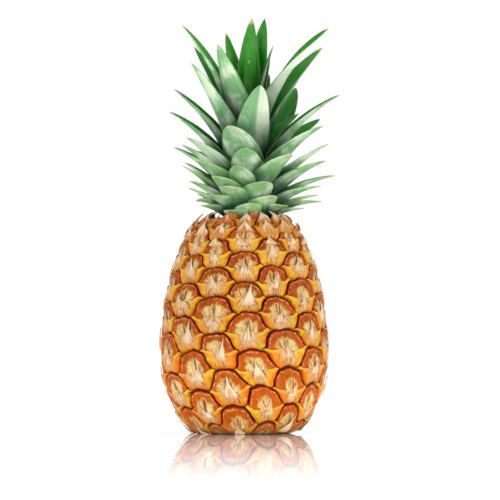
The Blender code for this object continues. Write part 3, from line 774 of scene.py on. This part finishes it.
STEM_RADIUS = 0.0165
STEM_TOP_RADIUS = 0.004
STEM_TOP = 0.212
STEM_FOOT = 0.1435
CROWN_SHIFT = 0.0025
FRONT_LEAVES = (
    (172, 204, 18, 293, 6, 20, 0),
    (150, 204, 23, 293, 8, 20, 10),
    (-142, 202, 25, 283, 8, 18, 0),
    (-42, 196, 31, 270, 12, 24, 0),
    (-100, 192, 47, 287, 34, 21, 14),
    (-118, 195, 43, 273, 14, 19, 10),
    (-60, 186, 45, 257, 18, 21, 0),
    (-132, 184, 37, 246, 14, 17, 0),
    (-100, 200, 20, 262, 5, 10, 0),
    (178, 206, 6, 262, 3, 9, 0),
    (104, 202, 18, 272, 16, 11, 0),
    (132, 202, 20, 266, 5, 14, 0),
    (74, 193, 58, 282, 46, 23, 45),
    (122, 190, 63, 274, 30, 23, 16),
    (98, 176, 65, 238, 38, 20, 10),
    (146, 184, 63, 247, -18, 32, 0),
    (12, 181, 41, 240, 44, 26, 0),
    (-17, 171, 45, 212, 54, 29, 0),
    (-100, 182, 53, 242, 32, 19, 12),
    (-101, 174, 56, 226, 36, 19, 12),
    (-122, 172, 43, 213, 22, 17, 0),
    (-58, 165, 49, 205, 44, 21, 0),
    (-74, 162, 48, 201, 36, 18, 0),
    (-99, 164, 53, 201, 34, 16, 10),
    (-100, 160, 45, 190, 26, 13, 8),
    (-83, 158, 46, 187, 24, 13, 0),
    (-50, 158, 46, 189, 48, 22, 0),
    (-36, 154, 41, 178, 50, 22, 0),
    (-72, 153, 43, 176, 38, 16, 0),
    (-96, 153, 42, 172, 28, 12, 0),
    (-106, 153, 37, 168, 28, 12, 0),
    (-72, 151, 35, 159, 32, 15, 0),
    (-46, 152, 37, 165, 44, 20, 0),
    (-25, 152, 37, 171, 52, 24, 0),
    (-2, 163, 39, 197, 52, 26, 0),
    (-11, 157, 38, 185, 54, 22, 0),
    (18, 153, 38, 174, 52, 25, 0),
    (40, 160, 48, 193, 44, 24, 0),
    (62, 166, 59, 213, 44, 21, 0),
    (125, 171, 62, 223, 26, 24, 14),
    (84, 163, 56, 202, 26, 19, 10),
    (64, 157, 60, 189, 38, 18, 0),
    (99, 156, 62, 181, 36, 14, 8),
    (70, 153, 54, 172, 38, 15, 0),
    (96, 153, 49, 167, 26, 10, 0),
    (84, 152, 52, 162, 30, 11, 0),
    (76, 151, 40, 157, 22, 11, 0),
    (34, 149, 31, 165, 38, 24, 0),
    (6, 147, 25, 160, 16, 25, 0),
    (-26, 146, 28, 155, 26, 23, 0),
    (52, 151, 35, 158, 42, 18, 0),
)
FAR_LEAF_COUNT = 21
FAR_TURN_SPAN = 148.0
FAR_TURN_GATHER = 0.45
GOLDEN_RATIO = 0.6180340
FAR_LEAF_WIDTH = 20.0
LEAF_THICKNESS = 0.0011
LEAF_TIP_THICKNESS = 0.0006
LEAF_TIP_HALF_WIDTH = 0.00016
BASE_CUP = 72.0
TIP_CUP = 34.0
BLUNT_TIP_CUP = 14.0
ROOT_REACH_SHARE = 0.9
ROOT_WIDTH_SHARE = 0.6
ROOT_LENGTH_SHARE = 0.24
TAPER_POWER = 0.78
BLUNT_TAPER_POWER = 0.68
SLENDER_SHARE = 0.16
BLUNT_SHARE = 0.40
MIDDLE_SWELL = 0.9
MIDRIB_FOLD = 0.30
MARGIN_RIPPLE = 0.0022
LEAF_WANDER = 0.006
SPINE_PAIRS = 30
SPINE_HEIGHT = 0.0005
SPINE_FOOT_SHARE = 0.6 / 60
SPINE_POINT_SHARE = 0.7 / 60
LEAF_ACROSS = (-1.0, -0.86, -0.62, -0.32, 0.0, 0.32, 0.62, 0.86, 1.0)
LEAF_STATIONS = 30
LEAF_COLOUR_IN_FULL_LIGHT = 0.66
DRY_TIPS = {(-17, 171): 0.06, (-2, 163): 0.03, (84, 163): 0.06, (18, 153): 0.03}


def far_leaves():
    """The leaves of the side turned away, placed by the golden ratio from the root to the tip of the stem."""
    leaves = []
    for k in range(FAR_LEAF_COUNT):
        rise = (k / (FAR_LEAF_COUNT - 1)) ** 1.25
        spread = FAR_TURN_SPAN * (1.0 - FAR_TURN_GATHER * rise)
        turn = 180.0 + spread * ((0.35 + GOLDEN_RATIO * k) % 1.0 - 0.5)
        reach = 38.0 + 62.0 * rise * (1 - rise) - 18.0 * rise**2
        leaves.append((turn, 151.5 + 48.0 * rise, reach, 160.0 + 99.0 * rise**0.9, 52.0 - 36.0 * rise,
                       FAR_LEAF_WIDTH, 0.0))
    return leaves


def leaf_feet(leaves):
    """One point for each leaf, which carries the leaf's sizes and looks."""
    mesh = bpy.data.meshes.new("crown")
    mesh.from_pydata([(0, 0, 0)] * len(leaves), [], [])
    draws = np.random.default_rng(7).random((len(leaves), 2))
    held = {"leaf_foot": [], "leaf_tip": [], "leaf_look": [], "leaf_turn": []}
    for (turn, root, reach, top, bend, width, twist), (draw, spare) in zip(leaves, draws):
        dry = DRY_TIPS.get((turn, root), 0.01 + 0.03 * spare)
        tone = min(1.0, max(0.0, (166.0 - root) / 16.0)) * 0.8 + 0.2 * spare
        held["leaf_foot"].append((turn, root, bend))
        held["leaf_tip"].append((reach, top, width))
        held["leaf_look"].append((dry, tone, draw))
        held["leaf_turn"].append((math.copysign(twist, math.sin(math.radians(turn))), 0.0, 0.0))
    for label, values in held.items():
        mesh.attributes.new(label, "FLOAT_VECTOR", "POINT").data.foreach_set("vector", np.ravel(values))
    return mesh


def leaf_template():
    """One blade with its spines.

    leaf_place holds the share of its length, the place across and the depth below its inner face. leaf_spine
    holds 1 at a spine's point, and the leaf length in metres from which that spine is there.
    """
    stations = 1 - (1 - np.linspace(0, 1, LEAF_STATIONS)) ** 1.25
    across = [(side, 0.0) for side in LEAF_ACROSS] + [(side, 1.0) for side in reversed(LEAF_ACROSS[1:-1])]
    places = [(share, side, depth) for share in stations for side, depth in across]
    faces = tube_faces(LEAF_STATIONS, len(across))[:-2]
    spines = [(0.0, 0.0, 0.0)] * len(places)
    for end in (0, len(places) - len(across)):
        inner = [end + k for k in range(len(LEAF_ACROSS))]
        outer = [inner[0]] + [end + len(across) - k for k in range(1, len(LEAF_ACROSS) - 1)] + [inner[-1]]
        for k in range(len(LEAF_ACROSS) - 1):
            face = tuple(dict.fromkeys((inner[k], inner[k + 1], outer[k + 1], outer[k])))
            faces.append(face if end else face[::-1])
    for pair in range(SPINE_PAIRS):
        share = 0.16 + 0.80 * (pair + 0.5) / SPINE_PAIRS
        needed = 0.10 * ((GOLDEN_RATIO * pair) % 1.0)
        for side in (-1.0, 1.0):
            first = len(places)
            foot = side * 0.97
            places += [(share, foot, 0.0), (share, foot, 1.0), (share + SPINE_FOOT_SHARE, foot, 0.5),
                       (share + SPINE_POINT_SHARE, side, 0.5)]
            spines += [(0.0, needed, 0.0)] * 3 + [(1.0, needed, 0.0)]
            ring = (0, 1, 2) if side < 0 else (0, 2, 1)
            faces += [tuple(first + k for k in ring)]
            faces += [(first + ring[(k + 1) % 3], first + ring[k], first + 3) for k in range(3)]
    outward = [face[::-1] for face in faces]
    return template("leaf", places, outward, {"leaf_place": places, "leaf_spine": spines})


def crown_tree(sizes):
    """Blades on the stem, each bent along its own arc from root to tip."""
    tree, size = new_tree("Crown", sizes)
    blade = wire(tree, "GeometryNodeObjectInfo", {"Object": size["Blade"]}, output="Geometry")
    leaves = wire(tree, "GeometryNodeInstanceOnPoints", {"Points": size["Geometry"], "Instance": blade})
    leaves = wire(tree, "GeometryNodeRealizeInstances", {"Geometry": leaves})
    turn, root, bend = parts_of(attribute(tree, "leaf_foot"))
    tip_reach, top, width = parts_of(attribute(tree, "leaf_tip"))
    _, _, draw = parts_of(attribute(tree, "leaf_look"))
    share, side, depth = parts_of(attribute(tree, "leaf_place"))
    spine, needed, _ = parts_of(attribute(tree, "leaf_spine"))
    twist, _, _ = parts_of(attribute(tree, "leaf_turn"))
    root, tip_reach, top, width = root * 0.001, tip_reach * 0.001, top * 0.001, width * 0.001
    stem_share = wire(tree, "ShaderNodeMapRange", {0: root, 1: size["Fruit top"], 2: size["Stem top"]})
    root_reach = ROOT_REACH_SHARE * lerp(size["Stem radius"], size["Stem top radius"], stem_share)
    out, up = tip_reach - root_reach, top - root
    half_bend = bend * math.radians(0.5)
    chord, lean = worked("SQRT", out * out + up * up), worked("ARCTAN2", out, up)
    length = chord * half_bend / sine(half_bend)
    first, swing = lean - half_bend, 2.0 * half_bend
    lean = first + swing * share
    reach = root_reach + length * (cosine(first) - cosine(lean)) / swing
    height = root + length * (sine(lean) - sine(first)) / swing
    root_width = ROOT_WIDTH_SHARE + (1 - ROOT_WIDTH_SHARE) * worked("MINIMUM", share / ROOT_LENGTH_SHARE, 1.0)
    blunt = wire(tree, "ShaderNodeMapRange", {0: width / length, 1: SLENDER_SHARE, 2: BLUNT_SHARE})
    taper = worked("POWER", 1.0 - share, lerp(TAPER_POWER, BLUNT_TAPER_POWER, blunt))
    narrow = root_width * taper * (1.0 + MIDDLE_SWELL * share)
    half = worked("MAXIMUM", 0.5 * width * narrow, LEAF_TIP_HALF_WIDTH)
    cup = lerp(BASE_CUP, lerp(TIP_CUP, BLUNT_TIP_CUP, blunt), share) * math.radians(1.0)
    edge = worked("ABSOLUTE", side)
    thick = lerp(LEAF_THICKNESS, LEAF_TIP_THICKNESS, share) * (1.0 - 0.6 * edge * edge * edge)
    grown_spine = spine * SPINE_HEIGHT * (0.7 + 0.6 * draw)
    across = half * sine(side * cup) / sine(cup) + grown_spine * cosine(cup) * worked("SIGN", side)
    raised_by = half * (1.0 - cosine(side * cup)) / sine(cup) - depth * thick + grown_spine * sine(cup)
    ripple = noise(vector(share * 5.0, side * 0.6, draw * 90.0), 1.0, 1.0) - 0.5
    raised_by = raised_by + MARGIN_RIPPLE * ripple * edge * smooth(share, 0.1, 0.5) * (1.0 - share)
    raised_by = raised_by + half * MIDRIB_FOLD * (1.0 - share) * (worked("SQRT", side * side + 0.01) - 0.5)
    spin = twist * math.radians(1.0) * share * share
    across, raised_by = (across * cosine(spin) - raised_by * sine(spin),
                         raised_by * cosine(spin) + across * sine(spin))
    across = across + LEAF_WANDER * (noise(vector(share * 1.3, draw * 70.0, 0.5), 1.0, 0.0) - 0.5) * share
    reach = reach - raised_by * cosine(lean)
    height = height + raised_by * sine(lean)
    angle = turn * math.radians(1.0)
    x = CROWN_SHIFT + reach * sine(angle) + across * cosine(angle)
    y = across * sine(angle) - reach * cosine(angle)
    missing = worked("GREATER_THAN", needed, length)
    leaves = wire(tree, "GeometryNodeSetPosition", {"Geometry": leaves, "Position": vector(x, y, height)})
    leaves = without(leaves, missing)
    cone = {"Vertices": 40, "Side Segments": 12, "Radius Top": size["Stem top radius"],
            "Radius Bottom": size["Stem radius"], "Depth": STEM_TOP - STEM_FOOT}
    stem = wire(tree, "GeometryNodeMeshCone", cone)
    stem = wire(tree, "GeometryNodeTransform", {"Geometry": stem, "Translation": (CROWN_SHIFT, 0, STEM_FOOT)})
    both = tree.nodes.new("GeometryNodeJoinGeometry")
    tree.links.new(leaves.socket, both.inputs[0])
    tree.links.new(stem.socket, both.inputs[0])
    return tree, Wire(tree, both.outputs[0])


def leafy(red, green, blue):
    return colour(red, green, blue, LEAF_COLOUR_IN_FULL_LIGHT)


def leaf_finish():
    finish, tree, shader = new_finish("leaf", 0.5, 0.06)
    place = object_place(tree)
    share, side, depth = parts_of(seen(tree, "leaf_place"))
    dry, tone, draw = parts_of(seen(tree, "leaf_look"))
    spine, _, _ = parts_of(seen(tree, "leaf_spine"))
    _, _, width = parts_of(seen(tree, "leaf_tip"))
    edge = worked("ABSOLUTE", side)
    veins = noise(vector(side * width * 0.9, share * 1.2, draw * 90.0), 1.0, 2.0)
    cloud = noise(place, 70.0, 3.0)
    outer = tinted(leafy(140, 192, 136), leafy(222, 240, 212), smooth(cloud, 0.42, 0.62) * 0.9)
    outer = tinted(outer, leafy(60, 136, 76), smooth(veins, 0.52, 0.34) * 0.5)
    turn, root, _ = parts_of(seen(tree, "leaf_foot"))
    # Painted highlight: near white on the right half of the outer face of the front leaf turned a little
    # right, and over the outer face of one upright leaf further right, where the key lamp would light them.
    lit_half = smooth(side, -0.10, 0.14) * bump_at(turn, 12.0, 12.0) * smooth(root, 168.0, 178.0)
    key_lit_right_leaf = bump_at(turn, 74.0, 8.0) * smooth(root, 184.0, 190.0)
    outer = tinted(outer, leafy(236, 248, 222), lit_half * 0.8 + key_lit_right_leaf * 0.8)
    # Painted shade: the outer face turns deep green towards its foot, where the leaves crowd and shade each
    # other.
    outer = tinted(outer, leafy(2, 64, 34), smooth(share + (cloud - 0.5) * 0.2, 0.76, 0.26) * 0.97)
    outer = tinted(outer, leafy(166, 200, 104), tone * smooth(share, 0.35, 0.95) * 0.5)
    inner = tinted(leafy(38, 146, 32), leafy(6, 94, 14), smooth(veins, 0.44, 0.62))
    inner = tinted(inner, leafy(96, 152, 84), smooth(cloud + share * 0.3, 0.62, 0.95) * 0.5)
    # Painted shade: the inner face darkens towards its foot, where the leaves crowd and shade each other.
    inner = tinted(inner, leafy(0, 34, 10), smooth(share, 0.55, 0.15) * 0.85)
    inner = tinted(inner, leafy(130, 164, 74), tone * smooth(share, 0.3, 0.9) * 0.5)
    leaf = tinted(inner, outer, smooth(depth, 0.05, 0.45))
    leaf = tinted(leaf, leafy(192, 214, 150), smooth(edge, 0.94, 0.99) * 0.35)
    withered = smooth(share + (cloud - 0.5) * 0.06 + dry, 0.985, 1.02)
    withered = withered * lerp(0.25, 1.0, smooth(width, 25.0, 18.0))
    leaf = tinted(leaf, leafy(214, 204, 132), withered)
    brown_point = smooth(share + (veins - 0.5) * 0.02 + 0.3 * dry, 0.995, 1.02)
    leaf = tinted(leaf, leafy(168, 132, 74), brown_point * withered)
    leaf = tinted(leaf, leafy(176, 178, 120), spine)
    tree.links.new(leaf.socket, shader.inputs["Base Color"])
    tree.links.new(lerp(0.36, 0.62, depth).socket, shader.inputs["Roughness"])
    raised(shader, veins, 0.0003)
    return finish


crown_sizes = {
    "Blade": leaf_template(),
    "Fruit top": FRUIT_TOP,
    "Stem top": STEM_TOP,
    "Stem radius": STEM_RADIUS,
    "Stem top radius": STEM_TOP_RADIUS,
}
feet = leaf_feet((*FRONT_LEAVES, *far_leaves()))
crown = grown("crown_leaves", crown_tree, crown_sizes, leaf_finish(), feet)
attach(crown, "root")
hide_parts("crown")


# The stage. The fruit stands on a white floor that mirrors it near its foot, in an all-round white light with
# one large soft lamp on each side and one above. The camera is far off and looks a little up.


def lamp(name, place, size, power):
    light = bpy.data.lights.new(name, "AREA")
    light.shape = "SQUARE"
    light.size = size
    light.energy = power
    made = bpy.data.objects.new(name, light)
    made.location = place
    aim = bpy.data.objects["aim"].location - made.location
    made.rotation_euler = aim.to_track_quat("-Z", "Y").to_euler()
    bpy.context.scene.collection.objects.link(made)


FLOOR_WHITE = 0.70
FLOOR_ROUGHNESS = 0.0
FLOOR_GLOSS = 0.95
FLOOR_GLOSS_ENDS = 1.12
WORLD_LIGHT = 1.02

aim = bpy.data.objects.new("aim", None)
aim.location = (0.0039, 0.0, 0.1281)
bpy.context.scene.collection.objects.link(aim)

floor_mesh = bpy.data.meshes.new("floor")
floor_mesh.from_pydata([(-40, -40, 0), (40, -40, 0), (40, 40, 0), (-40, 40, 0)], [], [(0, 1, 2, 3)])
floor = bpy.data.objects.new("floor", floor_mesh)
bpy.context.scene.collection.objects.link(floor)
floor_finish, floor_tree, floor_shader = new_finish("floor_white", 0.9, 0.0)
x, y, _ = parts_of(object_place(floor_tree))
white = lerp(FLOOR_WHITE, 1.0, smooth(worked("SQRT", x * x + y * y), 0.3, 2.6))
floor_tree.links.new(vector(white, white, white).socket, floor_shader.inputs["Base Color"])
mirror = {"Color": (1.0, 1.0, 1.0, 1.0), "Roughness": FLOOR_ROUGHNESS}
floor_gloss = add_node(floor_tree, "ShaderNodeBsdfGlossy", mirror)
facing = wire(floor_tree, "ShaderNodeLayerWeight", {"Blend": 0.5}, output="Facing")
gloss_share = FLOOR_GLOSS * smooth(-1.0 * y, FLOOR_GLOSS_ENDS, 0.0) * facing * facing * facing
floor_mix = add_node(floor_tree, "ShaderNodeMixShader", {0: gloss_share})
floor_tree.links.new(floor_shader.outputs[0], floor_mix.inputs[1])
floor_tree.links.new(floor_gloss.outputs[0], floor_mix.inputs[2])
floor_tree.links.new(floor_mix.outputs[0], floor_tree.nodes["Material Output"].inputs["Surface"])
floor_mesh.materials.append(floor_finish)

world = bpy.data.worlds.new("studio")
world.use_nodes = True
world.node_tree.nodes["Background"].inputs["Color"].default_value = (1.0, 1.0, 1.0, 1.0)
world.node_tree.nodes["Background"].inputs["Strength"].default_value = WORLD_LIGHT
bpy.context.scene.world = world

lamp("key", (1.3, -1.0, 0.32), 0.9, 29.0)
lamp("fill", (-1.1, -0.9, 0.30), 0.7, 17.0)
lamp("top", (0.3, 0.5, 1.5), 0.6, 10.0)

CAMERA_DISTANCE = 2.0
CAMERA_RISE = -2.1
CAMERA_LENS = 205.7
CAMERA_SENSOR_WIDTH = 36.0
camera = bpy.data.objects.new("camera", bpy.data.cameras.new("camera"))
camera.data.lens = CAMERA_LENS
camera.data.sensor_width = CAMERA_SENSOR_WIDTH
rise = math.radians(CAMERA_RISE)
back = CAMERA_DISTANCE * math.cos(rise)
camera.location = (aim.location.x, -back, aim.location.z + CAMERA_DISTANCE * math.sin(rise))
camera.rotation_euler = (math.pi / 2 - rise, 0.0, 0.0)
bpy.context.scene.collection.objects.link(camera)
bpy.context.scene.camera = camera
bpy.context.scene.view_settings.view_transform = "Standard"
